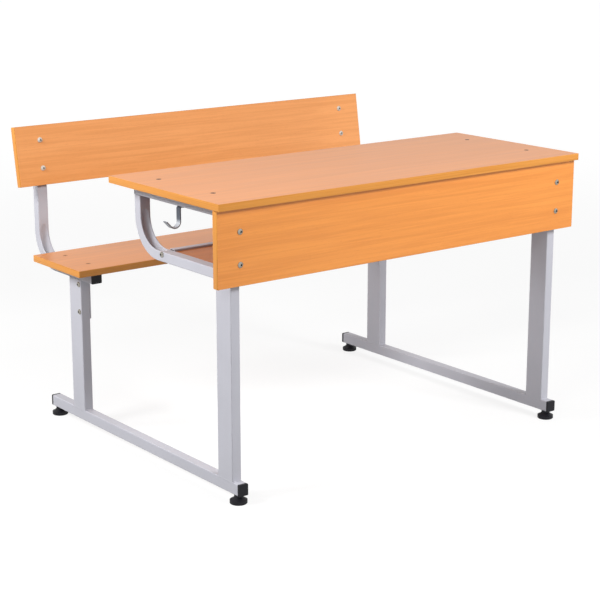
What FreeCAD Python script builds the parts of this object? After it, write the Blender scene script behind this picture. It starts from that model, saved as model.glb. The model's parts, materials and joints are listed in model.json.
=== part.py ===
import FreeCAD, Part
import math
import os

from FreeCAD import Vector

# Student desk with an attached bench, in millimetres. +Z is up and the floor is z = 0. The sitter
# faces -Y, so the modesty panel is in front and the bench with its backrest is behind. Left, seen from
# the front, is -X.
# Pieces are laid out from the desktop's front edge, y = 0, and the finished set is moved so that the
# origin is the middle of its box on the floor. Every piece of the left frame is mirrored to the right.

# Boards
board = 18.0
band = 1.0
desktop_length = 1200.0
desktop_depth = 486.0
desk_height = 753.0
panel_end_inset = 3.0
panel_height = 186.0
panel_inset = 13.0
panel_slot = 2.0
seat_depth = 250.0
seat_height = 473.0
backrest_end_reach = 8.0
backrest_height = 166.0
shelf_play = 0.5

# Frame tubes
frame_overhang = 52.0
wall = 1.5
tube_corner = 2.5
bore_corner_share = 0.4
leg_width = 27.0
leg_depth = 61.0
leg_pitch = 704.0
rail_height = 30.0
rail_lead = 3.0
rail_reach = 917.0
floor_gap = 24.0
arm_depth = 26.0
bend_radius = 90.0
crease_depth = 9.0
crease_lip = 2.2
crease_wheel_share = 0.935

# Book compartment
compartment_height = 160.0
shelf_sink = 2.5
top_rail_length = 417.0
cross_tube = 20.0
cross_tube_lead = 20.0
cross_tube_rise = 3.0
tab_thickness = 3.0
tab_width = 30.0
tab_reach = 25.0
tab_shares = (0.2, 0.8)

# Bench
seat_lead = 86.0
seat_arm_lead = 61.0
rest_bar = 4.0
rest_bar_setback = 14.0
back_gap = 56.0
kink_height = 640.0
backrest_lift = 12.0
post_drop = 18.0
plate_thickness = 4.0
plate_width = 50.0
plate_setback = 2.0
plate_tail = 22.0
plate_bolt_drop = 13.0
plate_bolt_pitch = 77.0
plate_bolt_setback = 10.0

# Bag hook
hook_width = 17.0
hook_thickness = 3.0
hook_corner = 0.6
hook_setback = 157.5
hook_foot = 16.0
hook_drop = 54.0
hook_knee = 5.0
hook_bowl = 15.5
hook_tip = 18.5

# Plugs
plug_flange = 3.0
base_plug_flange = 7.0
plug_depth = 6.0
plug_fit = 0.2

# Levelling feet
foot_setback = 22.0
pad_radius = 22.0
pad_rim = 9.5
pad_chamfer = 1.5
flare_hollow = 0.5
neck_radius = 11.0
collar_height = 7.0
stud_radius = 4.0
stud_seat = 5.0
stud_bore_fit = 0.05
running_fit = 0.06
stud_hole_play = 0.5
foot_travel = 12.0
foot_nut_width = 13.0
foot_nut_height = 6.5
thread_spare = 2.0

# Fasteners
bolt_radius = 3.0
bolt_head_radius = 7.5
bolt_head_rim = 1.2
bolt_head_height = 4.6
bolt_socket_width = 5.0
bolt_socket_depth = 2.6
bolt_tail = 3.0
nut_width = 10.0
nut_height = 5.0
screw_radius = 3.0
screw_head_radius = 6.5
screw_head_height = 3.5
screw_length = 36.0
screw_slot_width = 1.6
screw_slot_depth = 1.6
short_screw_radius = 2.0
short_screw_head_radius = 4.0
short_screw_head_height = 2.2
short_screw_length = 14.0
hole_play = 0.15
insert_length = 16.0
panel_bolt_inset = 17.0
desktop_screw_inset = 21.0
panel_bolt_shares = (0.281, 0.709)
top_rail_screw_shares = (0.232, 0.801)
seat_screw_shares = (0.272, 0.768)
backrest_bolt_shares = (0.28, 0.75)

# Angles in degrees
recline = 9.0
hook_rise = 46.0
square_turn = 90

# Cuts run past the faces that they open by this much
overrun = 2.0

# Places worked out from the sizes above
axis_x = Vector(1, 0, 0)
axis_y = Vector(0, 1, 0)
axis_z = Vector(0, 0, 1)
seat_length = desktop_length
panel_length = desktop_length - 2 * panel_end_inset
backrest_length = desktop_length + 2 * backrest_end_reach
frame_outer = desktop_length / 2 - frame_overhang
panel_bolt_line = frame_outer - panel_bolt_inset
desktop_screw_line = frame_outer - desktop_screw_inset
arm_width = leg_width + plate_thickness
frame_inner = frame_outer - arm_width
leg_inner = frame_outer - leg_width
leg_mid = frame_outer - leg_width / 2
arm_mid = frame_outer - arm_width / 2
desktop_under = desk_height - board
rail_top = floor_gap + rail_height
rail_rear = rail_lead + rail_reach
panel_top = desktop_under - panel_slot
panel_bottom = panel_top - panel_height
panel_rear = panel_inset + board
desk_leg_rear = panel_rear + leg_depth
desk_leg_top = desktop_under - rail_height
desk_arm_rear = panel_rear + top_rail_length
desk_arm_post = desk_arm_rear - arm_depth / 2
desk_bend_start = desk_arm_post - bend_radius
shelf_top = desktop_under - compartment_height
shelf_bottom = shelf_top - board
desk_run = shelf_top + shelf_sink - arm_depth / 2
cross_tube_y = desk_bend_start - cross_tube_lead
cross_tube_z = desk_run + arm_depth / 2 + cross_tube_rise - cross_tube / 2
bench_leg_front = panel_rear + leg_pitch
seat_front = bench_leg_front - seat_lead
seat_rear = seat_front + seat_depth
seat_under = seat_height - board
seat_arm_top = seat_under - rest_bar
seat_run = seat_arm_top - arm_depth / 2
bench_leg_top = seat_arm_top - arm_depth
seat_arm_front = bench_leg_front - seat_arm_lead
post_y = seat_rear + back_gap + arm_depth / 2
seat_bend_start = post_y - bend_radius
kink = Vector(0, post_y, kink_height)
kink_tangent = bend_radius * math.tan(math.radians(recline / 2))
backrest_rear = post_y - arm_depth / 2
backrest_front = backrest_rear - board
backrest_bottom = kink_height + backrest_lift
backrest_top = backrest_bottom + backrest_height
post_top = backrest_top - post_drop
upper_plate_bolt = bench_leg_top - plate_bolt_drop
lower_plate_bolt = upper_plate_bolt - plate_bolt_pitch
plate_bolt_y = bench_leg_front + plate_bolt_setback

nodes = {}


def keep(name, solids):
    """Store one node: a single solid or a group of separate solids."""
    group = solids if isinstance(solids, list) else [solids]
    nodes[name] = group[0] if len(group) == 1 else Part.makeCompound(group)


def mirrored(shape):
    """The same piece on the right frame."""
    return shape.mirror(Vector(), axis_x)


def keep_both(name, shape):
    """Store a piece of the left frame and its mirror image on the right."""
    keep("left_" + name, shape)
    keep("right_" + name, mirrored(shape))


def keep_pairs(name, shapes):
    """Store a group of left pieces and their mirror images as one node."""
    keep(name, shapes + [mirrored(shape) for shape in shapes])


def block(x_span, y_span, z_span):
    """Box between two places on each axis."""
    corner = Vector(x_span[0], y_span[0], z_span[0])
    return Part.makeBox(x_span[1] - x_span[0], y_span[1] - y_span[0], z_span[1] - z_span[0], corner)


def heading(angle):
    """Unit vector in the YZ plane, turned by an angle in degrees from +Y towards +Z."""
    turn = math.radians(angle)
    return Vector(0, math.cos(turn), math.sin(turn))


def rounded_wire(centre, across, along, width, depth, corner):
    """Rounded rectangle, its width on the first axis and its depth on the second."""
    def on_corner(middle, angle):
        turn = math.radians(angle)
        return middle + across * (corner * math.cos(turn)) + along * (corner * math.sin(turn))

    ends = []
    edges = []
    for quarter, (side, end) in enumerate(((1, 1), (-1, 1), (-1, -1), (1, -1))):
        middle = centre + across * (side * (width / 2 - corner)) + along * (end * (depth / 2 - corner))
        first, half, last = [on_corner(middle, 90 * quarter + step) for step in (0, 45, 90)]
        edges.append(Part.Arc(first, half, last).toShape())
        ends.append((first, last))
    for (_, last), (first, _) in zip(ends, ends[1:] + ends[:1]):
        edges.append(Part.LineSegment(last, first).toShape())
    return Part.Wire(Part.__sortEdges__(edges))


def bar(start, direction, length, across, width, depth, corner):
    """Solid bar with a rounded rectangular section."""
    along = direction.cross(across)
    outline = rounded_wire(start, across, along, width, depth, corner)
    return Part.Face(outline).extrude(direction * length)


def tube(start, direction, length, across, width, depth):
    """Straight tube with rounded corners, open at both ends."""
    inner_corner = tube_corner * bore_corner_share
    outer = bar(start, direction, length, across, width, depth, tube_corner)
    bore_start = start - direction * overrun
    bore_length = length + 2 * overrun
    bore = bar(bore_start, direction, bore_length, across, width - 2 * wall, depth - 2 * wall, inner_corner)
    return outer.cut(bore)


def bent_bar(start, path, width, depth, corner):
    """Bar that follows runs and bends in a YZ plane from a +Y heading.

    A path step is ("run", length) or ("bend", radius, turn in degrees, up is positive).
    """
    pieces = []
    place = start
    angle = 0
    for step in path:
        forward = heading(angle)
        upward = heading(angle + 90)
        outline = rounded_wire(place, axis_x, upward, width, depth, corner)
        if step[0] == "run":
            pieces.append(Part.Face(outline).extrude(forward * step[1]))
            place = place + forward * step[1]
        else:
            radius, turn = step[1:]
            centre = place + upward * math.copysign(radius, turn)
            pieces.append(Part.Face(outline).revolve(centre, axis_x, turn))
            angle += turn
            place = centre - heading(angle + 90) * math.copysign(radius, turn)
    return pieces[0].multiFuse(pieces[1:]).removeSplitter()


def crease(bend_centre, skin):
    """Wheel that presses the lens-shaped crease into the inner side of a quarter bend.

    The wheel stands off the bend's centre towards the corner. Skin grows it by the tube's wall.
    """
    inner_radius = bend_radius - arm_depth / 2
    wheel = inner_radius * crease_wheel_share
    offset = inner_radius + crease_depth - wheel
    half_width = arm_width / 2 - crease_lip
    rim = (half_width ** 2 + crease_depth ** 2) / (2 * crease_depth)
    centre = bend_centre + heading(-45) * offset
    return Part.makeTorus(wheel - rim, rim + skin, centre, axis_x)


def bent_tube(start, path, bend_centre):
    """Arm tube along a path, with the crease of its quarter bend, open at both ends."""
    inner_width = arm_width - 2 * wall
    inner_depth = arm_depth - 2 * wall
    bore_path = [("run", overrun)] + list(path) + [("run", overrun)]
    bore_start = start - axis_y * overrun
    outer = bent_bar(start, path, arm_width, arm_depth, tube_corner)
    bore = bent_bar(bore_start, bore_path, inner_width, inner_depth, tube_corner * bore_corner_share)
    creased = outer.cut(crease(bend_centre, 0))
    return creased.cut(bore.cut(crease(bend_centre, wall)))


def aimed(shape, place, outward):
    """Copy of a fastener made head up at the origin, moved to a place and turned outward."""
    copy = shape.copy()
    copy.Placement = FreeCAD.Placement(place, FreeCAD.Rotation(axis_z, outward))
    return copy


def drill(place, outward, radius, depth):
    """Round cutter that enters a face from outside."""
    return Part.makeCylinder(radius, depth + overrun, place + outward * overrun, outward * -1)


def sink(place, outward):
    """Cutter for a flush screw: a cone for its head and a hole for its shank."""
    mouth = screw_head_radius + hole_play
    throat = screw_radius + hole_play
    cone = Part.makeCone(mouth, throat, screw_head_height, place, outward * -1)
    return cone.fuse(drill(place, outward, throat, screw_length))


def cut_all(shape, cutters):
    """Shape with every cutter taken out of it."""
    return shape.cut(Part.makeCompound(cutters))


def hexagon(width, height):
    """Hexagonal prism of a width across its flats, standing on the origin."""
    radius = width / math.sqrt(3)
    turns = [math.radians(60 * side) for side in range(7)]
    points = [Vector(radius * math.cos(turn), radius * math.sin(turn), 0) for turn in turns]
    return Part.Face(Part.makePolygon(points)).extrude(axis_z * height)


def bolt(grip):
    """Domed bolt with a hexagon socket: its head stands on z = 0 and the shank goes down."""
    rim = Vector(bolt_head_radius, 0, bolt_head_rim)
    crown = Vector(0, 0, bolt_head_height)
    sag = bolt_head_height - bolt_head_rim
    sphere = (bolt_head_radius ** 2 + sag ** 2) / (2 * sag)
    middle = Vector(0, 0, bolt_head_height - sphere)
    half_turn = math.asin(bolt_head_radius / sphere) / 2
    shoulder = middle + Vector(sphere * math.sin(half_turn), 0, sphere * math.cos(half_turn))
    edges = [
        Part.LineSegment(Vector(), Vector(bolt_head_radius, 0, 0)).toShape(),
        Part.LineSegment(Vector(bolt_head_radius, 0, 0), rim).toShape(),
        Part.Arc(rim, shoulder, crown).toShape(),
        Part.LineSegment(crown, Vector()).toShape(),
    ]
    head = Part.Face(Part.Wire(edges)).revolve(Vector(), axis_z, 360)
    socket = hexagon(bolt_socket_width, bolt_head_height)
    socket.translate(axis_z * (bolt_head_height - bolt_socket_depth))
    shank = Part.makeCylinder(bolt_radius, grip + bolt_tail, Vector(), axis_z * -1)
    return head.cut(socket).fuse(shank).removeSplitter()


def nut(width, height, bore_radius):
    """Hexagon nut standing on z = 0."""
    return hexagon(width, height).cut(drill(axis_z * height, axis_z, bore_radius, height + overrun))


def cross_slot(top, reach):
    """Two crossed slots for a driver, cut down from a screw's top."""
    half = screw_slot_width / 2
    floor = top - screw_slot_depth
    one = block((-reach, reach), (-half, half), (floor, top + overrun))
    other = block((-half, half), (-reach, reach), (floor, top + overrun))
    return one.fuse(other)


def flush_screw():
    """Countersunk screw whose flat head ends at z = 0."""
    head = Part.makeCone(screw_head_radius, screw_radius, screw_head_height, Vector(), axis_z * -1)
    shank_length = screw_length - screw_radius
    shank = Part.makeCylinder(screw_radius, shank_length, Vector(), axis_z * -1)
    point = Part.makeCone(screw_radius, 0, screw_radius, axis_z * -shank_length, axis_z * -1)
    return head.multiFuse([shank, point]).cut(cross_slot(0, screw_radius))


def short_screw():
    """Cylinder-head screw whose head stands on z = 0 and whose shank goes down."""
    head = Part.makeCylinder(short_screw_head_radius, short_screw_head_height)
    shank = Part.makeCylinder(short_screw_radius, short_screw_length, Vector(), axis_z * -1)
    return head.fuse(shank).cut(cross_slot(short_screw_head_height, short_screw_radius))


def banded(length, depth, thickness):
    """Board core and its four edge strips, lying on z = 0 with its front edge on y = 0."""
    half = length / 2
    across = (0, thickness)
    core = block((band - half, half - band), (band, depth - band), across)
    strips = [
        block((-half, half), (0, band), across),
        block((-half, half), (depth - band, depth), across),
        block((-half, band - half), (band, depth - band), across),
        block((half - band, half), (band, depth - band), across),
    ]
    return core, strips


def stood(shape):
    """Board made lying, stood on its front edge with its upper face towards -Y."""
    shape.rotate(Vector(), axis_x, 90)
    return shape


def lean(shape):
    """Piece of the upright backrest, leaned back about the kink of the posts."""
    shape.rotate(kink, axis_x, -recline)
    return shape


def plug(end, outward, width, depth, reach=plug_flange):
    """Plastic plug in a tube's end: a flange on the end and a stem inside."""
    less = 2 * (wall + plug_fit)
    stem_corner = tube_corner * bore_corner_share
    flange = bar(end, outward, reach, axis_x, width, depth, tube_corner)
    stem = bar(end, outward * -1, plug_depth, axis_x, width - less, depth - less, stem_corner)
    return flange.fuse(stem)


def desktop_screw_places(height):
    """Places over the left top rail where screws hold the desktop, at a height."""
    return [Vector(-desktop_screw_line, panel_rear + share * top_rail_length, height)
            for share in top_rail_screw_shares]


def make_desktop():
    """Desktop board with its edge strips and the screws that hold it to the top rails."""
    core, strips = banded(desktop_length, desktop_depth, board)
    for piece in [core] + strips:
        piece.translate(axis_z * desktop_under)
    places = desktop_screw_places(desk_height)
    sinks = [sink(place, axis_z) for place in places]
    keep("desktop_board", cut_all(core, sinks + [mirrored(cutter) for cutter in sinks]))
    keep("desktop_edge_strips", strips)
    keep_pairs("desktop_screws", [aimed(flush_screw(), place, axis_z) for place in places])


def panel_bolt_places():
    """Places on the modesty panel's face where bolts go through to the desk legs."""
    return [Vector(side * panel_bolt_line, panel_inset, panel_bottom + share * panel_height)
            for side in (-1, 1) for share in panel_bolt_shares]


def make_panel():
    """Modesty panel with its edge strips, through bolts and nuts behind the legs."""
    core, strips = banded(panel_length, panel_height, board)
    for piece in [core] + strips:
        stood(piece)
        piece.translate(Vector(0, panel_rear, panel_bottom))
    places = panel_bolt_places()
    holes = [drill(place, -axis_y, bolt_radius + hole_play, board + overrun) for place in places]
    keep("modesty_panel", cut_all(core, holes))
    keep("panel_edge_strips", strips)
    keep("panel_bolts", [aimed(bolt(board + leg_depth + nut_height), place, -axis_y) for place in places])
    rear = axis_y * (board + leg_depth)
    one_nut = nut(nut_width, nut_height, bolt_radius + hole_play)
    keep("panel_nuts", [aimed(one_nut, place + rear, axis_y) for place in places])


def make_seat():
    """Bench seat with its edge strips and flush screws into the seat arms."""
    core, strips = banded(seat_length, seat_depth, board)
    for piece in [core] + strips:
        piece.translate(Vector(0, seat_front, seat_under))
    places = [Vector(side * arm_mid, seat_front + share * seat_depth, seat_height)
              for side in (-1, 1) for share in seat_screw_shares]
    keep("seat_board", cut_all(core, [sink(place, axis_z) for place in places]))
    keep("seat_edge_strips", strips)
    keep("seat_screws", [aimed(flush_screw(), place, axis_z) for place in places])


def backrest_bolt_places():
    """Bolt places on the upright backrest's face, before it leans."""
    return [Vector(side * arm_mid, backrest_front, backrest_bottom + share * backrest_height)
            for side in (-1, 1) for share in backrest_bolt_shares]


def make_backrest():
    """Backrest with its edge strips, through bolts and nuts behind the posts."""
    core, strips = banded(backrest_length, backrest_height, board)
    for piece in [core] + strips:
        stood(piece)
        piece.translate(Vector(0, backrest_rear, backrest_bottom))
    places = backrest_bolt_places()
    holes = [drill(place, -axis_y, bolt_radius + hole_play, board + overrun) for place in places]
    one_bolt = bolt(board + arm_depth + nut_height)
    one_nut = nut(nut_width, nut_height, bolt_radius + hole_play)
    rear = axis_y * (board + arm_depth)
    bolts = Part.makeCompound([aimed(one_bolt, place, -axis_y) for place in places])
    nuts = Part.makeCompound([aimed(one_nut, place + rear, axis_y) for place in places])
    keep("backrest_board", lean(cut_all(core, holes)))
    keep("backrest_edge_strips", [lean(strip) for strip in strips])
    keep("backrest_bolts", lean(bolts).Solids)
    keep("backrest_nuts", lean(nuts).Solids)


def make_legs():
    """Desk leg and bench leg, welded on the base rail, with the bolt holes of what they carry."""
    desk_place = Vector(-leg_mid, panel_rear + leg_depth / 2, rail_top)
    desk_leg = tube(desk_place, axis_z, desk_leg_top - rail_top, axis_x, leg_width, leg_depth)
    bolt_holes = [drill(place, -axis_y, bolt_radius + hole_play, board + leg_depth + overrun)
                  for place in panel_bolt_places()]
    keep_both("desk_leg", cut_all(desk_leg, bolt_holes))
    bench_place = Vector(-leg_mid, bench_leg_front + leg_depth / 2, rail_top)
    bench_leg = tube(bench_place, axis_z, bench_leg_top - rail_top, axis_x, leg_width, leg_depth)
    plate_holes = [drill(place, -axis_x, bolt_radius + hole_play, leg_width + overrun)
                   for place in plate_bolt_places()]
    keep_both("bench_leg", cut_all(bench_leg, plate_holes))


def foot_places():
    """Middles of the two feet of the left rail, on the floor."""
    spots = (rail_lead + foot_setback, rail_rear - foot_setback)
    return [Vector(-leg_mid, spot, 0) for spot in spots]


def make_rails():
    """Base rail and top rail, closed with plugs, with the holes of studs and screws."""
    base_start = Vector(-leg_mid, rail_lead + base_plug_flange, floor_gap + rail_height / 2)
    base_end = Vector(-leg_mid, rail_rear - base_plug_flange, floor_gap + rail_height / 2)
    base = tube(base_start, axis_y, base_end.y - base_start.y, axis_x, leg_width, rail_height)
    stud_holes = [drill(place + axis_z * floor_gap, -axis_z, stud_radius + stud_hole_play, wall + overrun)
                  for place in foot_places()]
    keep_both("base_rail", cut_all(base, stud_holes))
    keep_pairs("base_rail_plugs", [plug(base_start, -axis_y, leg_width, rail_height, base_plug_flange),
                                   plug(base_end, axis_y, leg_width, rail_height, base_plug_flange)])
    top_start = Vector(-arm_mid, panel_rear + plug_flange, desktop_under - rail_height / 2)
    top_end = Vector(-arm_mid, desk_arm_rear - plug_flange, desktop_under - rail_height / 2)
    top = tube(top_start, axis_y, top_end.y - top_start.y, axis_x, arm_width, rail_height)
    pilots = [drill(place, axis_z, screw_radius + hole_play, wall + overrun)
              for place in desktop_screw_places(desktop_under)]
    pilots.append(drill(hook_screw_place(), -axis_z, short_screw_radius + hole_play, wall + overrun))
    keep_both("top_rail", cut_all(top, pilots))
    keep_pairs("top_rail_plugs", [plug(top_start, -axis_y, arm_width, rail_height),
                                  plug(top_end, axis_y, arm_width, rail_height)])


def make_desk_arm():
    """Bent arm from the desk leg's rear up to the top rail, at the side of the book compartment."""
    start = Vector(-arm_mid, desk_leg_rear, desk_run)
    bend_end = desk_run + bend_radius
    path = [
        ("run", desk_bend_start - desk_leg_rear),
        ("bend", bend_radius, square_turn),
        ("run", desk_leg_top - bend_end),
    ]
    arm_tube = bent_tube(start, path, Vector(-arm_mid, desk_bend_start, bend_end))
    hole = drill(cross_bolt_place(), -axis_x, bolt_radius + hole_play, arm_width + overrun)
    keep_both("desk_arm", arm_tube.cut(hole))


def cross_bolt_place():
    """Place on the desk arm's outer face where a bolt holds the cross tube."""
    return Vector(-frame_outer, cross_tube_y, cross_tube_z)


def make_compartment():
    """Shelf board, the cross tube behind it, and the tabs and screws that hold the shelf."""
    inside = frame_inner - shelf_play
    shelf = block((-inside, inside), (panel_rear + shelf_play, cross_tube_y - cross_tube / 2 - shelf_play),
                  (shelf_bottom, shelf_top))
    tube_start = Vector(-frame_inner, cross_tube_y, cross_tube_z)
    keep("shelf_cross_tube", tube(tube_start, axis_x, 2 * frame_inner, axis_y, cross_tube, cross_tube))
    place = cross_bolt_place()
    grip = arm_width + insert_length - bolt_tail
    keep_pairs("cross_tube_bolts", [aimed(bolt(grip), place, -axis_x)])
    bore = cross_tube - 2 * wall
    insert = bar(tube_start, axis_x, insert_length, axis_y, bore, bore, tube_corner * bore_corner_share)
    insert = insert.cut(drill(tube_start, -axis_x, bolt_radius + hole_play, insert_length + overrun))
    keep_pairs("cross_tube_inserts", [insert])
    tabs = []
    screws = []
    pilots = []
    for share in tab_shares:
        middle = desk_leg_rear + share * (desk_bend_start - desk_leg_rear)
        under = shelf_bottom - tab_thickness
        tab = block((-frame_inner, tab_reach - frame_inner), (middle - tab_width / 2, middle + tab_width / 2),
                    (under, shelf_bottom))
        spot = Vector(tab_reach / 2 - frame_inner, middle, under)
        hole = drill(spot, -axis_z, short_screw_radius + hole_play, short_screw_length + hole_play)
        tabs.append(tab.cut(hole))
        pilots += [hole, mirrored(hole)]
        screws.append(aimed(short_screw(), spot, -axis_z))
    keep("book_shelf_board", cut_all(shelf, pilots))
    keep_pairs("shelf_tabs", tabs)
    keep_pairs("shelf_screws", screws)


def hook_screw_place():
    """Place under the hook's foot where its screw goes up into the top rail."""
    return Vector(-arm_mid, desk_leg_rear + hook_setback, desk_leg_top)


def make_hook():
    """Bag hook: a strip screwed under the top rail, bent down and round away from the desk's side."""
    start = Vector(0, -hook_foot / 2, -hook_thickness / 2)
    stem = hook_drop - hook_thickness - hook_knee - hook_bowl
    path = [
        ("run", hook_foot),
        ("bend", hook_knee, -square_turn),
        ("run", stem),
        ("bend", hook_bowl, square_turn + hook_rise),
        ("run", hook_tip),
    ]
    strip = bent_bar(start, path, hook_width, hook_thickness, hook_corner)
    strip.rotate(Vector(), axis_z, square_turn)
    strip.translate(hook_screw_place())
    under = hook_screw_place() - axis_z * hook_thickness
    hole = drill(under, -axis_z, short_screw_radius + hole_play, hook_thickness + overrun)
    keep_both("bag_hook", strip.cut(hole))
    keep_pairs("hook_screws", [aimed(short_screw(), under, -axis_z)])


def make_seat_arm():
    """Seat arm under the seat, bent up into the backrest's post, with its rest bar and plugs."""
    start = Vector(-arm_mid, seat_arm_front + plug_flange, seat_run)
    bend_end = seat_run + bend_radius
    path = [
        ("run", seat_bend_start - start.y),
        ("bend", bend_radius, square_turn),
        ("run", kink_height - kink_tangent - bend_end),
        ("bend", bend_radius, -recline),
        ("run", post_top - kink_height - kink_tangent),
    ]
    arm_tube = bent_tube(start, path, Vector(-arm_mid, seat_bend_start, bend_end))
    bolt_holes = [lean(drill(place, -axis_y, bolt_radius + hole_play, board + arm_depth + overrun))
                  for place in backrest_bolt_places()]
    screw_holes = [drill(Vector(-arm_mid, seat_front + share * seat_depth, seat_under), axis_z,
                         screw_radius + hole_play, rest_bar + wall + overrun) for share in seat_screw_shares]
    keep_both("seat_arm", cut_all(arm_tube, bolt_holes + screw_holes))
    keep_pairs("seat_arm_plugs", [plug(start, -axis_y, arm_width, arm_depth)])
    post_end = Vector(-arm_mid, post_y, post_top)
    keep_pairs("post_plugs", [lean(plug(post_end, axis_z, arm_width, arm_depth))])
    rest = block((-frame_outer, -frame_inner), (seat_arm_front + rest_bar_setback, seat_bend_start),
                 (seat_arm_top, seat_under))
    keep_both("seat_rest_bar", cut_all(rest, screw_holes))


def plate_bolt_places():
    """Places on the bench leg's outer face where bolts hold the seat plate."""
    return [Vector(-frame_outer, plate_bolt_y, height) for height in (upper_plate_bolt, lower_plate_bolt)]


def make_seat_plate():
    """Plate on the leg's inner side, welded under the seat arm, threaded for bolts through the leg."""
    places = plate_bolt_places()
    front = bench_leg_front + plate_setback
    plate = block((-leg_inner, -frame_inner), (front, front + plate_width),
                  (lower_plate_bolt - plate_tail, bench_leg_top))
    grip = leg_width + plate_thickness
    threads = [drill(place, -axis_x, bolt_radius + running_fit, grip + overrun) for place in places]
    keep_both("seat_plate", cut_all(plate, threads))
    keep_pairs("seat_plate_bolts", [aimed(bolt(grip - bolt_tail), place, -axis_x) for place in places])


def foot_pad():
    """Plastic pad standing on the origin: a chamfered rim, a hollow flare and a collar under the rail."""
    collar_foot = floor_gap - collar_height
    flare_radius = (pad_radius + neck_radius) / 2 - flare_hollow
    flare_height = (pad_rim + collar_foot) / 2 - flare_hollow
    outline = [
        Vector(),
        Vector(pad_radius - pad_chamfer, 0, 0),
        Vector(pad_radius, 0, pad_chamfer),
        Vector(pad_radius, 0, pad_rim),
    ]
    edges = [Part.LineSegment(first, last).toShape() for first, last in zip(outline, outline[1:])]
    flare_top = Vector(neck_radius, 0, collar_foot)
    edges.append(Part.Arc(outline[-1], Vector(flare_radius, 0, flare_height), flare_top).toShape())
    rest = [flare_top, Vector(neck_radius, 0, floor_gap), Vector(0, 0, floor_gap), Vector()]
    edges += [Part.LineSegment(first, last).toShape() for first, last in zip(rest, rest[1:])]
    solid = Part.Face(Part.Wire(edges)).revolve(Vector(), axis_z, 360)
    depth = floor_gap - stud_seat
    return solid.cut(drill(axis_z * floor_gap, axis_z, stud_radius + stud_bore_fit, depth))


def make_feet():
    """Four levelling feet: pad, threaded stud and the nut welded inside the rail."""
    nut_top = floor_gap + wall + foot_nut_height
    stud_length = nut_top + foot_travel + thread_spare - stud_seat
    stud = Part.makeCylinder(stud_radius, stud_length, axis_z * stud_seat)
    one_nut = nut(foot_nut_width, foot_nut_height, stud_radius + running_fit)
    nuts = []
    for end, place in zip(("front", "rear"), foot_places()):
        for side, spot in (("left", place), ("right", Vector(-place.x, place.y, 0))):
            keep(f"{end}_{side}_foot_pad", aimed(foot_pad(), spot, axis_z))
            keep(f"{end}_{side}_foot_stud", aimed(stud, spot, axis_z))
            nuts.append(aimed(one_nut, spot + axis_z * (floor_gap + wall), axis_z))
    keep("foot_nuts", nuts)


def write_nodes():
    """Move the set so that the origin is the middle of its box on the floor, and write each node."""
    os.makedirs("parts", exist_ok=True)
    box = Part.makeCompound(list(nodes.values())).optimalBoundingBox()
    shift = Vector(0, -(box.YMin + box.YMax) / 2, 0)
    for name, shape in nodes.items():
        shape.translate(shift)
        shape.exportStep(f"parts/{name}.step")
    print(len(nodes), "nodes", box, "moved by", shift)


make_desktop()
make_panel()
make_seat()
make_backrest()
make_legs()
make_rails()
make_desk_arm()
make_compartment()
make_hook()
make_seat_arm()
make_seat_plate()
make_feet()
write_nodes()
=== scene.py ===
import json
import math

import bmesh
import bpy
import numpy as np
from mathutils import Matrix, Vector


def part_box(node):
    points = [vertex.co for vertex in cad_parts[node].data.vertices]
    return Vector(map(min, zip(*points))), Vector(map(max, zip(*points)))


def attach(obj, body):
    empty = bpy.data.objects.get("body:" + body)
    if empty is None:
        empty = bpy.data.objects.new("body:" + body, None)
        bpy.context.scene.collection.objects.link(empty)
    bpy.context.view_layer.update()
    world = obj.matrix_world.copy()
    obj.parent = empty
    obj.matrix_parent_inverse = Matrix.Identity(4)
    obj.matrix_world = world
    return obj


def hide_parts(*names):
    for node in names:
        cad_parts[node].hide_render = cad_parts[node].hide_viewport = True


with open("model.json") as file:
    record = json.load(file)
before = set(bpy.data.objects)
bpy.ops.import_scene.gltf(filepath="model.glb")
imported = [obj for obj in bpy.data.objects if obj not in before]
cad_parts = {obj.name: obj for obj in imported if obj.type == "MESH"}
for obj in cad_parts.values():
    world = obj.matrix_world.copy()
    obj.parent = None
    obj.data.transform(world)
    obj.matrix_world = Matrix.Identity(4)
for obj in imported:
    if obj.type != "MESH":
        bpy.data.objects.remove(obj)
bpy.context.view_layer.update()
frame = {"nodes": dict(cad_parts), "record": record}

# Boards and tubes of the frame, and the edge band's thickness and roundings, in metres
BOARD = 0.018
TUBE_CORNER = 0.0025
BAND = 0.001
BAND_ROUNDING = 0.0008
BAND_CORNER = 0.0015
BACKREST_LEAN = math.radians(-9)

# Boards with an edge band: whether the board stands upright, and how far it leans about X
BANDED_BOARDS = {
    "desktop": (False, 0.0),
    "panel": (True, 0.0),
    "seat": (False, 0.0),
    "backrest": (True, BACKREST_LEAN),
}

# Weld beads and ground seams, in metres, and shares of a bead's radius and of a seam's length
BEAD = 0.0026
BEAD_INSET = 0.003
BEAD_STEP = 0.0006
RIPPLE = 0.0021
RIPPLE_SHARE = 0.16
SEAM_OVERRUN = 0.004
SEAM_RUNOUT = 0.14
MERGE_DISTANCE = 1e-7
UP = np.array([0.0, 0.0, 1.0])

# Number of points on each curve
CORNER_POINTS = 6
ROUNDING_POINTS = 5
WELD_POINTS = 9
SEAM_POINTS = 40

# Grain of the finishes in repeats per metre, by axis or the same in all directions
PRINT_BANDS = (0.9, 17, 17)
PRINT_LINES = (3.2, 140, 140)
PRINT_FLECKS = (70, 900, 900)
BAND_STREAKS = (3, 420, 1)
BAND_SPECKLE = 900
PAINT_PEEL = 420
PAINT_GRAIN = 2400
PAINT_CLOUD = 9
PLASTIC_TEXTURE = 1500
PLASTIC_DUST = 60
PLATE_PATCHES = 260
PLATE_WEAR = 700
HOOK_RUBS = 90
HOOK_SKIN = 900

# How far the wood print moves on from one node to the next, so that no two boards look the same
PRINT_STRIDE = (0.37, 1.9, 2.3)

# Levels of noise between which a tone, a fleck or a rubbed patch comes in
TONE_LEVELS = (0.34, 0.66)
FLECK_LEVELS = (0.62, 0.72)
RUB_LEVELS = (0.5, 0.75)

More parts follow.
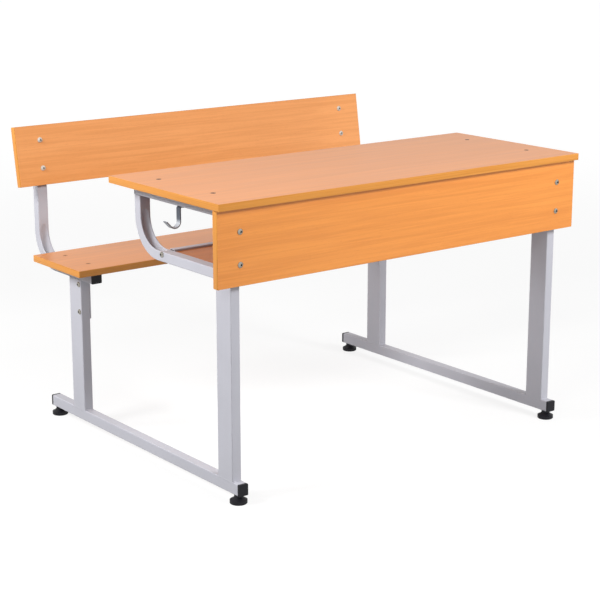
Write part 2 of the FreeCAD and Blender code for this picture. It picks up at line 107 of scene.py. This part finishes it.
# Heights in metres between which a hook's pale bowl gives way to its coat
HOOK_PALE_HEIGHTS = (0.662, 0.676)

# How near, in metres, a wall has to be for shade to be painted into a socket, and the levels of openness
# that set that painted shade
SOCKET_REACH = 0.004
SOCKET_LEVELS = (0.3, 0.9)
SOCKET_SAMPLES = 8

# Darker and paler tone of each board's print, as display colours
BOARD_TONES = {
    "desktop_board": ((203, 125, 57), (217, 138, 69)),
    "modesty_panel": ((218, 134, 54), (231, 147, 65)),
    # Painted shade: the shelf's tones are darker for the shade it lies in under the desktop
    "book_shelf_board": ((170, 94, 36), (185, 107, 46)),
    "seat_board": ((209, 128, 54), (223, 141, 65)),
    # Painted sheen: the backrest's tones are paler and bluer for the sheen it catches facing up and
    # forward
    "backrest_board": ((229, 151, 83), (241, 164, 98)),
}
FLECK_TONE = (196, 110, 40)

# Darker and paler tone of the other finishes, and the pale tone of the hook's bowl
BAND_TONES = ((200, 129, 42), (214, 143, 58))
PAINT_TONES = ((179, 179, 187), (197, 197, 206))
PLASTIC_TONES = ((14, 14, 18), (44, 44, 50))
HOOK_TONES = ((62, 68, 80), (112, 116, 126))
HOOK_BOWL_TONE = (176, 180, 186)

# Plated fasteners: darker tone, paler tone, tone of the painted shade deep in sockets, least roughness and
# share of metal
PLATED_LOOKS = {
    "bolt_chrome": ((136, 131, 121), (194, 190, 180), (18, 16, 14), 0.14, 1.0),
    "zinc_steel": ((42, 35, 32), (70, 62, 56), (18, 16, 14), 0.55, 0.3),
    "tan_heads": ((150, 100, 62), (186, 128, 78), (136, 88, 54), 0.5, 0.0),
    # Painted light: a paler copy of the bolt finish for the brighter light on the backrest bolts
    "bright_heads": ((188, 180, 170), (232, 226, 216), (44, 36, 29), 0.3, 0.6),
}

# Fasteners whose heads look unlike the others of their slot: the seat screws' tan heads, and the backrest
# bolts' paler heads, which are painted light
OWN_FINISH = {"seat_screws": "tan_heads", "backrest_bolts": "bright_heads"}

# Studio: strength of the even surround, and the floor's tone and the white that it shows, near and far
AMBIENT = 0.28
FLOOR_TONE = 0.18
NEAR_GLOW = 0.82
FAR_GLOW = 0.93
GLOW_DISTANCES = (1.2, 6.0)
FLOOR_IN_MIRRORS = 0.75
FLOOR_REACH = 60.0

# Lamps: place, aim, watts, width and height
LAMP_AIM = (0, 0, 0.4)
LAMPS = {
    "side": ((-2.5, 0.15, 2.0), LAMP_AIM, 54, 0.8, 0.7),
    "side_front": ((-2.4, -1.8, 1.9), LAMP_AIM, 12, 0.8, 0.7),
    "side_back": ((-2.5, 1.5, 1.5), LAMP_AIM, 28, 0.8, 0.7),
    "front": ((0.9, -2.6, 2.2), LAMP_AIM, 71, 0.8, 0.8),
    "low_front": ((1.1, -2.8, 0.3), LAMP_AIM, 14, 0.8, 0.4),
    "under_desk": ((-0.25, 0.04, 0.3), (0.535, 0.04, 0.2), 1.9, 0.6, 0.3),
}

# Camera as fitted to the photograph, in metres, with its lens and sensor in millimetres
CAMERA_AZIMUTH = math.radians(-37.7412)
CAMERA_ELEVATION = math.radians(14.3882)
CAMERA_TARGET = Vector((0.00748, -0.02528, 0.33468))
CAMERA_DISTANCE = 4.54847
CAMERA_LENS = 97.199
CAMERA_SENSOR = 36
CAMERA_REACH = 200


def linear(red, green, blue):
    """A display colour, 0 to 255, as the linear colour that a shader takes, by the standard curve."""
    share = np.array([red, green, blue]) / 255
    curve = np.where(share <= 0.04045, share / 12.92, ((share + 0.055) / 1.055) ** 2.4)
    return (*curve.tolist(), 1.0)


class Value:
    """A shader socket that takes part in Python arithmetic: each operation adds one Math node."""

    def __init__(self, nodes, socket):
        self.nodes = nodes
        self.socket = socket

    def math(self, operation, *values):
        return self.nodes.node("ShaderNodeMath", dict(enumerate(values)), operation=operation)

    def __add__(self, other):
        return self.math("ADD", self, other)

    def __radd__(self, other):
        return self.math("ADD", other, self)

    def __sub__(self, other):
        return self.math("SUBTRACT", self, other)

    def __rsub__(self, other):
        return self.math("SUBTRACT", other, self)

    def __mul__(self, other):
        return self.math("MULTIPLY", self, other)

    def __rmul__(self, other):
        return self.math("MULTIPLY", other, self)

    def clamped(self):
        return self.math("MINIMUM", self.math("MAXIMUM", self, 0.0), 1.0)


class Nodes:
    """A node tree, with one method that adds any node and a few that are used often."""

    def __init__(self, tree):
        self.tree = tree

    def put(self, node, key, value):
        """Set a socket, by name or number, to a number or colour, or link it."""
        socket = node.inputs[key]
        if isinstance(value, Value):
            self.tree.links.new(value.socket, socket)
        else:
            socket.default_value = value

    def node(self, kind, inputs=None, output=0, **settings):
        """Add a node: its settings first, then its sockets' values or links."""
        node = self.tree.nodes.new(kind)
        for name, value in settings.items():
            setattr(node, name, value)
        for key, value in (inputs or {}).items():
            self.put(node, key, value)
        return Value(self, node.outputs[output])

    def place(self, scale=(1, 1, 1), shift=(0, 0, 0)):
        """Object coordinates, stretched and moved."""
        point = self.node("ShaderNodeTexCoord", output="Object")
        return self.node("ShaderNodeMapping", {"Vector": point, "Scale": scale, "Location": shift})

    def even_place(self, per_metre):
        """Object coordinates, stretched alike in all directions."""
        return self.place((per_metre, per_metre, per_metre))

    def noise(self, where, detail, distortion=0.0):
        """Noise from 0 to 1 about a half."""
        sockets = {"Vector": where, "Scale": 1.0, "Detail": detail, "Distortion": distortion}
        return self.node("ShaderNodeTexNoise", sockets)

    def even_noise(self, per_metre, detail):
        """Noise of one grain in all directions."""
        return self.noise(self.even_place(per_metre), detail)

    def step(self, value, low, high):
        """A smooth rise from 0 to 1 between two levels."""
        sockets = {"Value": value, "From Min": low, "From Max": high}
        return self.node("ShaderNodeMapRange", sockets, interpolation_type="SMOOTHSTEP")

    def mix(self, share, first, second):
        """A colour between two others."""
        return self.node("ShaderNodeMix", {0: share, 6: first, 7: second}, output=2, data_type="RGBA")

    def tones(self, share, dark, pale):
        """A colour between two display colours."""
        return self.mix(share, linear(*dark), linear(*pale))

    def openness(self):
        """1 where a piece's surface lies open, falling to 0 deep in its own sockets and slots; it sets
        where shade is painted.
        """
        sockets = {"Distance": SOCKET_REACH}
        settings = {"samples": SOCKET_SAMPLES, "only_local": True}
        return self.node("ShaderNodeAmbientOcclusion", sockets, output="AO", **settings)

    def seen(self, in_mirrors):
        """1 for what the camera looks at, and a share of 1 for what shows in gloss or through glass."""
        rays = ("Is Camera Ray", "Is Glossy Ray", "Is Transmission Ray")
        direct, reflected, through = (self.node("ShaderNodeLightPath", output=ray) for ray in rays)
        return (direct + (reflected + through) * in_mirrors).clamped()


class Finish(Nodes):
    """A material and its shader."""

    def __init__(self, name):
        self.material = bpy.data.materials.new(name)
        self.material.use_nodes = True
        super().__init__(self.material.node_tree)
        self.shader = next(n for n in self.tree.nodes if n.type == "BSDF_PRINCIPLED")

    def set(self, **sockets):
        """Set or link the shader's own sockets, an underscore standing for a space."""
        for name, value in sockets.items():
            self.put(self.shader, name.replace("_", " "), value)

    def bump(self, height, strength, distance):
        """Relief on the shader's normal."""
        sockets = {"Height": height, "Strength": strength, "Distance": distance}
        self.set(Normal=self.node("ShaderNodeBump", sockets))


def wood_print(name, shift, dark, pale):
    """Printed beech laminate between two tones: bands, fine lines and short flecks, all long along X."""
    finish = Finish(name)
    bands = finish.noise(finish.place(PRINT_BANDS, shift), detail=2, distortion=1.2)
    lines = finish.noise(finish.place(PRINT_LINES, shift), detail=4, distortion=0.8)
    flecks = finish.noise(finish.place(PRINT_FLECKS, shift), detail=1)
    ticks = finish.step(flecks, *FLECK_LEVELS)
    tone = finish.step(bands * 0.32 + lines * 0.68, *TONE_LEVELS)
    colour = finish.tones(tone, dark, pale)
    finish.set(Base_Color=finish.mix(ticks * 0.22, colour, linear(*FLECK_TONE)))
    finish.set(Roughness=0.33 + lines * 0.1 - ticks * 0.04, Specular_IOR_Level=0.85)
    finish.bump(lines * 0.5 - ticks, strength=0.1, distance=0.0002)
    return finish.material


def edge_band(name):
    """Plastic edge band with faint streaks along its run, read from the band's own map."""
    finish = Finish(name)
    run = finish.node("ShaderNodeUVMap", uv_map="run")
    along = finish.node("ShaderNodeMapping", {"Vector": run, "Scale": BAND_STREAKS})
    streaks = finish.noise(along, detail=3, distortion=0.3)
    speckle = finish.even_noise(BAND_SPECKLE, detail=1)
    finish.set(Base_Color=finish.tones(finish.step(streaks, *TONE_LEVELS), *BAND_TONES))
    finish.set(Roughness=0.34 + speckle * 0.1, Specular_IOR_Level=0.7)
    finish.bump(streaks * 0.6 + speckle * 0.4, strength=0.15, distance=0.00015)
    return finish.material


def silver_paint(name):
    """Silver-grey powder coat: slight orange peel, faint unevenness of tone and gloss."""
    finish = Finish(name)
    peel = finish.even_noise(PAINT_PEEL, detail=2)
    grain = finish.even_noise(PAINT_GRAIN, detail=1)
    cloud = finish.even_noise(PAINT_CLOUD, detail=3)
    tone = (cloud * 0.6 + grain * 0.4).clamped()
    finish.set(Base_Color=finish.tones(tone, *PAINT_TONES))
    finish.set(Roughness=0.36 + cloud * 0.14, Metallic=0.1)
    finish.bump(peel * 0.8 + grain * 0.2, strength=0.2, distance=0.00012)
    return finish.material


def moulded_plastic(name):
    """Matt black plastic with a fine moulded texture and dusty, paler patches."""
    finish = Finish(name)
    texture = finish.even_noise(PLASTIC_TEXTURE, detail=2)
    dust = finish.even_noise(PLASTIC_DUST, detail=4)
    finish.set(Base_Color=finish.tones(dust * texture, *PLASTIC_TONES))
    finish.set(Roughness=0.45 + dust * 0.2, Specular_IOR_Level=0.3)
    finish.bump(texture, strength=0.3, distance=0.00015)
    return finish.material


def plated_steel(name, dark, pale, socket_shade, gloss, metal):
    """Plated metal: crystal-like patches of tone, a little wear in its gloss, and painted shade deep in
    sockets.
    """
    finish = Finish(name)
    cells = {"Vector": finish.even_place(PLATE_PATCHES), "Scale": 1.0}
    patches = finish.node("ShaderNodeTexVoronoi", cells, output="Color")
    shade = finish.node("ShaderNodeSeparateColor", {"Color": patches})
    wear = finish.even_noise(PLATE_WEAR, detail=3)
    colour = finish.tones((shade * 0.5 + wear * 0.5).clamped(), dark, pale)
    # Painted shade: the colour turns to the dark socket tone where the piece's own walls close in
    unshaded_share = finish.step(finish.openness(), *SOCKET_LEVELS)
    finish.set(Base_Color=finish.mix(unshaded_share, linear(*socket_shade), colour), Metallic=metal)
    finish.set(Roughness=gloss + wear * 0.12)
    finish.bump(wear, strength=0.08, distance=0.0001)
    return finish.material


def dark_coat(name):
    """Dark blue-grey coat on the hooks: smooth, and pale in the bowl below a set height."""
    finish = Finish(name)
    rubs = finish.step(finish.even_noise(HOOK_RUBS, detail=4), *RUB_LEVELS)
    skin = finish.even_noise(HOOK_SKIN, detail=2)
    height = finish.node("ShaderNodeSeparateXYZ", {"Vector": finish.place()}, output="Z")
    # Below a set height, in the bowl, the hook takes a pale tone
    below_share = 1 - finish.step(height, *HOOK_PALE_HEIGHTS)
    coat = finish.tones(rubs * 0.5 + skin * 0.2, *HOOK_TONES)
    finish.set(Base_Color=finish.mix(below_share, coat, linear(*HOOK_BOWL_TONE)))
    finish.set(Roughness=0.24 + skin * 0.12, Specular_IOR_Level=0.6)
    finish.bump(skin, strength=0.1, distance=0.0001)
    return finish.material


def add_object(name, data):
    """A new object in the scene."""
    thing = bpy.data.objects.new(name, data)
    bpy.context.scene.collection.objects.link(thing)
    return thing


def add_mesh(name, points, faces, material):
    """A smooth-shaded piece from arrays of points and quads, riding on the frame."""
    mesh = bpy.data.meshes.new(name)
    mesh.from_pydata(points.reshape(-1, 3), [], faces.reshape(-1, 4))
    mesh.validate()
    mesh.polygons.foreach_set("use_smooth", np.ones(len(mesh.polygons), bool))
    mesh.materials.append(material)
    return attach(add_object(name, mesh), "frame")


def grid_faces(rows, columns, wrap_rows, wrap_columns):
    """Quads of a grid of points, joined round at either side where the surface closes."""
    row = np.arange(rows if wrap_rows else rows - 1)[:, None]
    column = np.arange(columns if wrap_columns else columns - 1)[None, :]
    next_row = (row + 1) % rows
    next_column = (column + 1) % columns
    corners = [
        row * columns + column,
        next_row * columns + column,
        next_row * columns + next_column,
        row * columns + next_column,
    ]
    return np.stack(np.broadcast_arrays(*corners), axis=-1)


def close_normals(mesh):
    """Merge the pinched ends of a closed strip and turn its faces outwards."""
    shape = bmesh.new()
    shape.from_mesh(mesh)
    bmesh.ops.remove_doubles(shape, verts=shape.verts, dist=MERGE_DISTANCE)
    bmesh.ops.recalc_face_normals(shape, faces=shape.faces)
    if shape.calc_volume(signed=True) < 0:
        bmesh.ops.reverse_faces(shape, faces=shape.faces)
    shape.to_mesh(mesh)
    shape.free()


def box_corners(node):
    """Lowest and highest corner of a CAD node, as arrays."""
    low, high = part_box(node)
    return np.array(low), np.array(high)


def quarter_turn(count):
    """Evenly spaced angles of a quarter turn."""
    return np.linspace(0, math.pi / 2, count)


def rounded_outline(length, depth):
    """Rounded rectangle about the origin: points, outward normals and the run along it.

    Each corner's arc is its centre plus the radius times (cos, sin) of a quarter turn.
    """
    turn = quarter_turn(CORNER_POINTS)[None, :] + np.arange(4)[:, None] * math.pi / 2
    normals = np.stack([np.cos(turn), np.sin(turn)], axis=-1)
    signs = np.array([(1, 1), (-1, 1), (-1, -1), (1, -1)])[:, None, :]
    centres = signs * (np.array([length, depth]) / 2 - BAND_CORNER)
    points = (centres + BAND_CORNER * normals).reshape(-1, 2)
    normals = normals.reshape(-1, 2)
    gaps = np.linalg.norm(np.roll(points, -1, axis=0) - points, axis=1)
    return points, normals, np.concatenate([[0], np.cumsum(gaps)])


def mark_run(mesh, run, rise):
    """Map of the band: metres along its run and metres across it, at every face corner."""
    size = (len(run) - 1, len(rise))
    first = np.broadcast_to(run[:-1, None], size)
    last = np.broadcast_to(run[1:, None], size)
    height = np.broadcast_to(rise, size)
    above = np.broadcast_to(np.roll(rise, -1), size)
    corners = [(first, height), (last, height), (last, above), (first, above)]
    uv = np.stack([np.stack(pair, axis=-1) for pair in corners], axis=2)
    mesh.uv_layers.new(name="run").data.foreach_set("uv", uv.astype(np.float32).ravel())


def banded_edge(board, upright, lean, material):
    """Edge band round a board: a strip's section carried round the board's outline.

    The section is the band's thickness by the board's, with its two outer edges rounded: the outer wall
    comes from a quarter arc at each end. It stands on the outline's outward normal and the board's own
    upright direction, and lean turns it about X. A leaning board's depth is worked out from its box.
    """
    strips = board + "_edge_strips"
    low, high = box_corners(strips)
    length, depth, tall = high - low
    if upright:
        depth = (tall - BOARD * math.sin(-lean)) / math.cos(lean)
    points, normals, run = rounded_outline(length, depth)
    quarter = quarter_turn(ROUNDING_POINTS)
    half = BOARD / 2
    lift = BAND_ROUNDING * (1 - np.cos(quarter))
    inset = -BAND_ROUNDING * (1 - np.sin(quarter))
    rise = np.concatenate([[-half], lift - half, half - lift[::-1], [half]])
    reach = np.concatenate([[-BAND], inset, inset[::-1], [-BAND]])
    across = points[:, None, :] + reach[None, :, None] * normals[:, None, :]
    up = np.broadcast_to(rise[None, :, None], across.shape[:2] + (1,))
    local = np.concatenate([across, up], axis=-1)
    if upright:
        local = np.stack([local[..., 0], -local[..., 2], local[..., 1]], axis=-1)
    turned = np.stack([
        local[..., 0],
        local[..., 1] * math.cos(lean) - local[..., 2] * math.sin(lean),
        local[..., 1] * math.sin(lean) + local[..., 2] * math.cos(lean),
    ], axis=-1)
    faces = grid_faces(len(points), len(rise), True, True)
    piece = add_mesh(board + "_band", turned + (low + high) / 2, faces, material)
    mark_run(piece.data, run, rise)
    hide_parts(strips)


def carry_weld(name, start, end, along, loops, material):
    """Weld whose closed section, given at each place along, is carried on a straight line."""
    line = start + along[:, None] * (end - start)
    faces = grid_faces(len(along), loops.shape[1], False, True)
    piece = add_mesh(name, line[:, None, :] + loops, faces, material)
    close_normals(piece.data)


def ground_weld(name, start, end, outward, material):
    """Weld ground flush in the groove where a tube's end meets another's rounded corner.

    Across, the section fills the corner between two flat faces, from the arc to the sharp corner. Along,
    the fill swells in and out over its two ends by a smooth step of the place along the seam.
    """
    along = np.linspace(0, 1, SEAM_POINTS)
    runout = np.clip(np.minimum(along, 1 - along) / SEAM_RUNOUT, 0, 1)
    share = (runout * runout * (3 - 2 * runout))[:, None, None]
    turn = quarter_turn(WELD_POINTS)
    sides = np.stack([np.cos(turn), np.sin(turn)], axis=-1)
    square = sides / sides.max(axis=1, keepdims=True)
    axes = TUBE_CORNER * np.stack([outward, UP])
    arc = sides @ axes
    skin = arc + share * (square @ axes - arc)
    back = np.broadcast_to(arc[::-1], skin.shape)
    carry_weld(name, start, end, along, np.concatenate([skin, back], axis=1), material)


def weld_bead(name, start, end, outward, material):
    """Fillet weld in the inner corner of two faces: a quarter-round section with ripples along its run.

    The radius is the bead's own times one plus a small squared sine of the place along, and it
    shrinks to a rounded end at both ends by a square root.
    """
    length = np.linalg.norm(end - start)
    along = np.linspace(0, 1, int(length / BEAD_STEP))
    edge = np.clip(np.minimum(along, 1 - along) * length / BEAD, 0, 1)
    ripples = np.sin(along * length / RIPPLE * math.pi) ** 2
    swell = np.sqrt(edge * (2 - edge)) * (1 + RIPPLE_SHARE * ripples)
    turn = quarter_turn(WELD_POINTS)
    arc = np.cos(turn)[:, None] * outward + np.sin(turn)[:, None] * UP
    section = np.concatenate([arc, np.zeros((1, 3))])
    carry_weld(name, start, end, along, BEAD * swell[:, None, None] * section, material)


def dress(finishes):
    """Give every CAD node the finish of its slot, and each board its own stretch of wood print."""
    slots = {part["node"]: part["material_slot"] for part in frame["record"]["subparts"]}
    for index, (name, node) in enumerate(sorted(frame["nodes"].items())):
        slot = slots[name]
        if slot == "melamine_board":
            shift = tuple(index * stride for stride in PRINT_STRIDE)
            material = wood_print("wood_print_" + name, shift, *BOARD_TONES[name])
        else:
            material = finishes[OWN_FINISH.get(name, slot)]
        node.data.materials.clear()
        node.data.materials.append(material)


def add_bands(material):
    """Edge bands of the desktop, panel, seat and backrest."""
    for board, (upright, lean) in BANDED_BOARDS.items():
        banded_edge(board, upright, lean, material)


def add_welds(material):
    """Welds of both side frames: ground seams on the flush faces and beads in the inner corners."""
    for side, sign in (("left", -1), ("right", 1)):
        for leg in ("desk", "bench"):
            low, high = box_corners(f"{side}_{leg}_leg")
            foot = low[2] - TUBE_CORNER
            walls = sorted((low[0], high[0]), key=abs)
            for face, x, out in (("inner", walls[0], -sign), ("outer", walls[1], sign)):
                seam = x - out * TUBE_CORNER
                start = np.array([seam, low[1] - SEAM_OVERRUN, foot])
                end = np.array([seam, high[1] + SEAM_OVERRUN, foot])
                ground_weld(f"{side}_{leg}_{face}_seam", start, end, np.array([out, 0, 0]), material)
            for face, y, out in (("front", low[1], -1), ("rear", high[1], 1)):
                start = np.array([low[0] + BEAD_INSET, y, low[2]])
                end = np.array([high[0] - BEAD_INSET, y, low[2]])
                weld_bead(f"{side}_{leg}_{face}_bead", start, end, np.array([0, out, 0]), material)


def add_floor():
    """Pale floor that the camera sees as white, with the object's own shadow left on it.

    Far from the object, where the lamps do not reach, the part of its white that is seen grows.
    """
    finish = Finish("pale_floor")
    distance = finish.node("ShaderNodeVectorMath", {0: finish.place()}, output="Value", operation="LENGTH")
    glow = NEAR_GLOW + finish.step(distance, *GLOW_DISTANCES) * (FAR_GLOW - NEAR_GLOW)
    white = finish.mix(finish.seen(FLOOR_IN_MIRRORS) * glow, (0, 0, 0, 1), (1, 1, 1, 1))
    finish.set(Base_Color=(FLOOR_TONE, FLOOR_TONE, FLOOR_TONE, 1), Roughness=0.9, Specular_IOR_Level=0.1)
    finish.set(Emission_Color=white, Emission_Strength=1.0)
    corners = [(x * FLOOR_REACH, y * FLOOR_REACH, 0) for x, y in ((-1, -1), (1, -1), (1, 1), (-1, 1))]
    mesh = bpy.data.meshes.new("floor")
    mesh.from_pydata(corners, [], [(0, 1, 2, 3)])
    mesh.materials.append(finish.material)
    add_object("floor", mesh)


def look_along(thing, direction):
    """Turn a lamp or the camera to look in a direction."""
    thing.rotation_euler = direction.to_track_quat("-Z", "Y").to_euler()


def add_lights():
    """Even surround, soft lamps high at the left and at the right in front, and weak ones to fill in."""
    world = bpy.data.worlds.new("studio")
    bpy.context.scene.world = world
    world.use_nodes = True
    nodes = Nodes(world.node_tree)
    background = world.node_tree.nodes["Background"]
    nodes.put(background, "Color", (1, 1, 1, 1))
    nodes.put(background, "Strength", AMBIENT + nodes.seen(1.0) * (1 - AMBIENT))
    for name, (place, aim, watts, width, height) in LAMPS.items():
        lamp = bpy.data.lights.new(name, "AREA")
        lamp.energy = watts
        lamp.shape = "RECTANGLE"
        lamp.size = width
        lamp.size_y = height
        holder = add_object(name, lamp)
        holder.location = place
        holder.visible_glossy = False
        holder.visible_camera = False
        look_along(holder, Vector(aim) - Vector(place))


def add_camera():
    """Camera at the photograph's angle: fitted azimuth, elevation, distance and lens."""
    level = math.cos(CAMERA_ELEVATION)
    back = Vector((
        math.sin(CAMERA_AZIMUTH) * level,
        -math.cos(CAMERA_AZIMUTH) * level,
        math.sin(CAMERA_ELEVATION),
    ))
    lens = bpy.data.cameras.new("photo_view")
    lens.sensor_width = CAMERA_SENSOR
    lens.lens = CAMERA_LENS
    lens.clip_end = CAMERA_REACH
    camera = add_object("photo_view", lens)
    camera.location = CAMERA_TARGET + back * CAMERA_DISTANCE
    look_along(camera, -back)
    bpy.context.scene.camera = camera


finishes = {
    "edge_band": edge_band("edge_band"),
    "silver_paint": silver_paint("silver_paint"),
    "black_plastic": moulded_plastic("black_plastic"),
    "hook_steel": dark_coat("hook_steel"),
}
finishes.update({name: plated_steel(name, *look) for name, look in PLATED_LOOKS.items()})
dress(finishes)
add_bands(finishes["edge_band"])
add_welds(finishes["silver_paint"])
add_floor()
add_lights()
add_camera()
bpy.context.scene.view_settings.view_transform = "Standard"
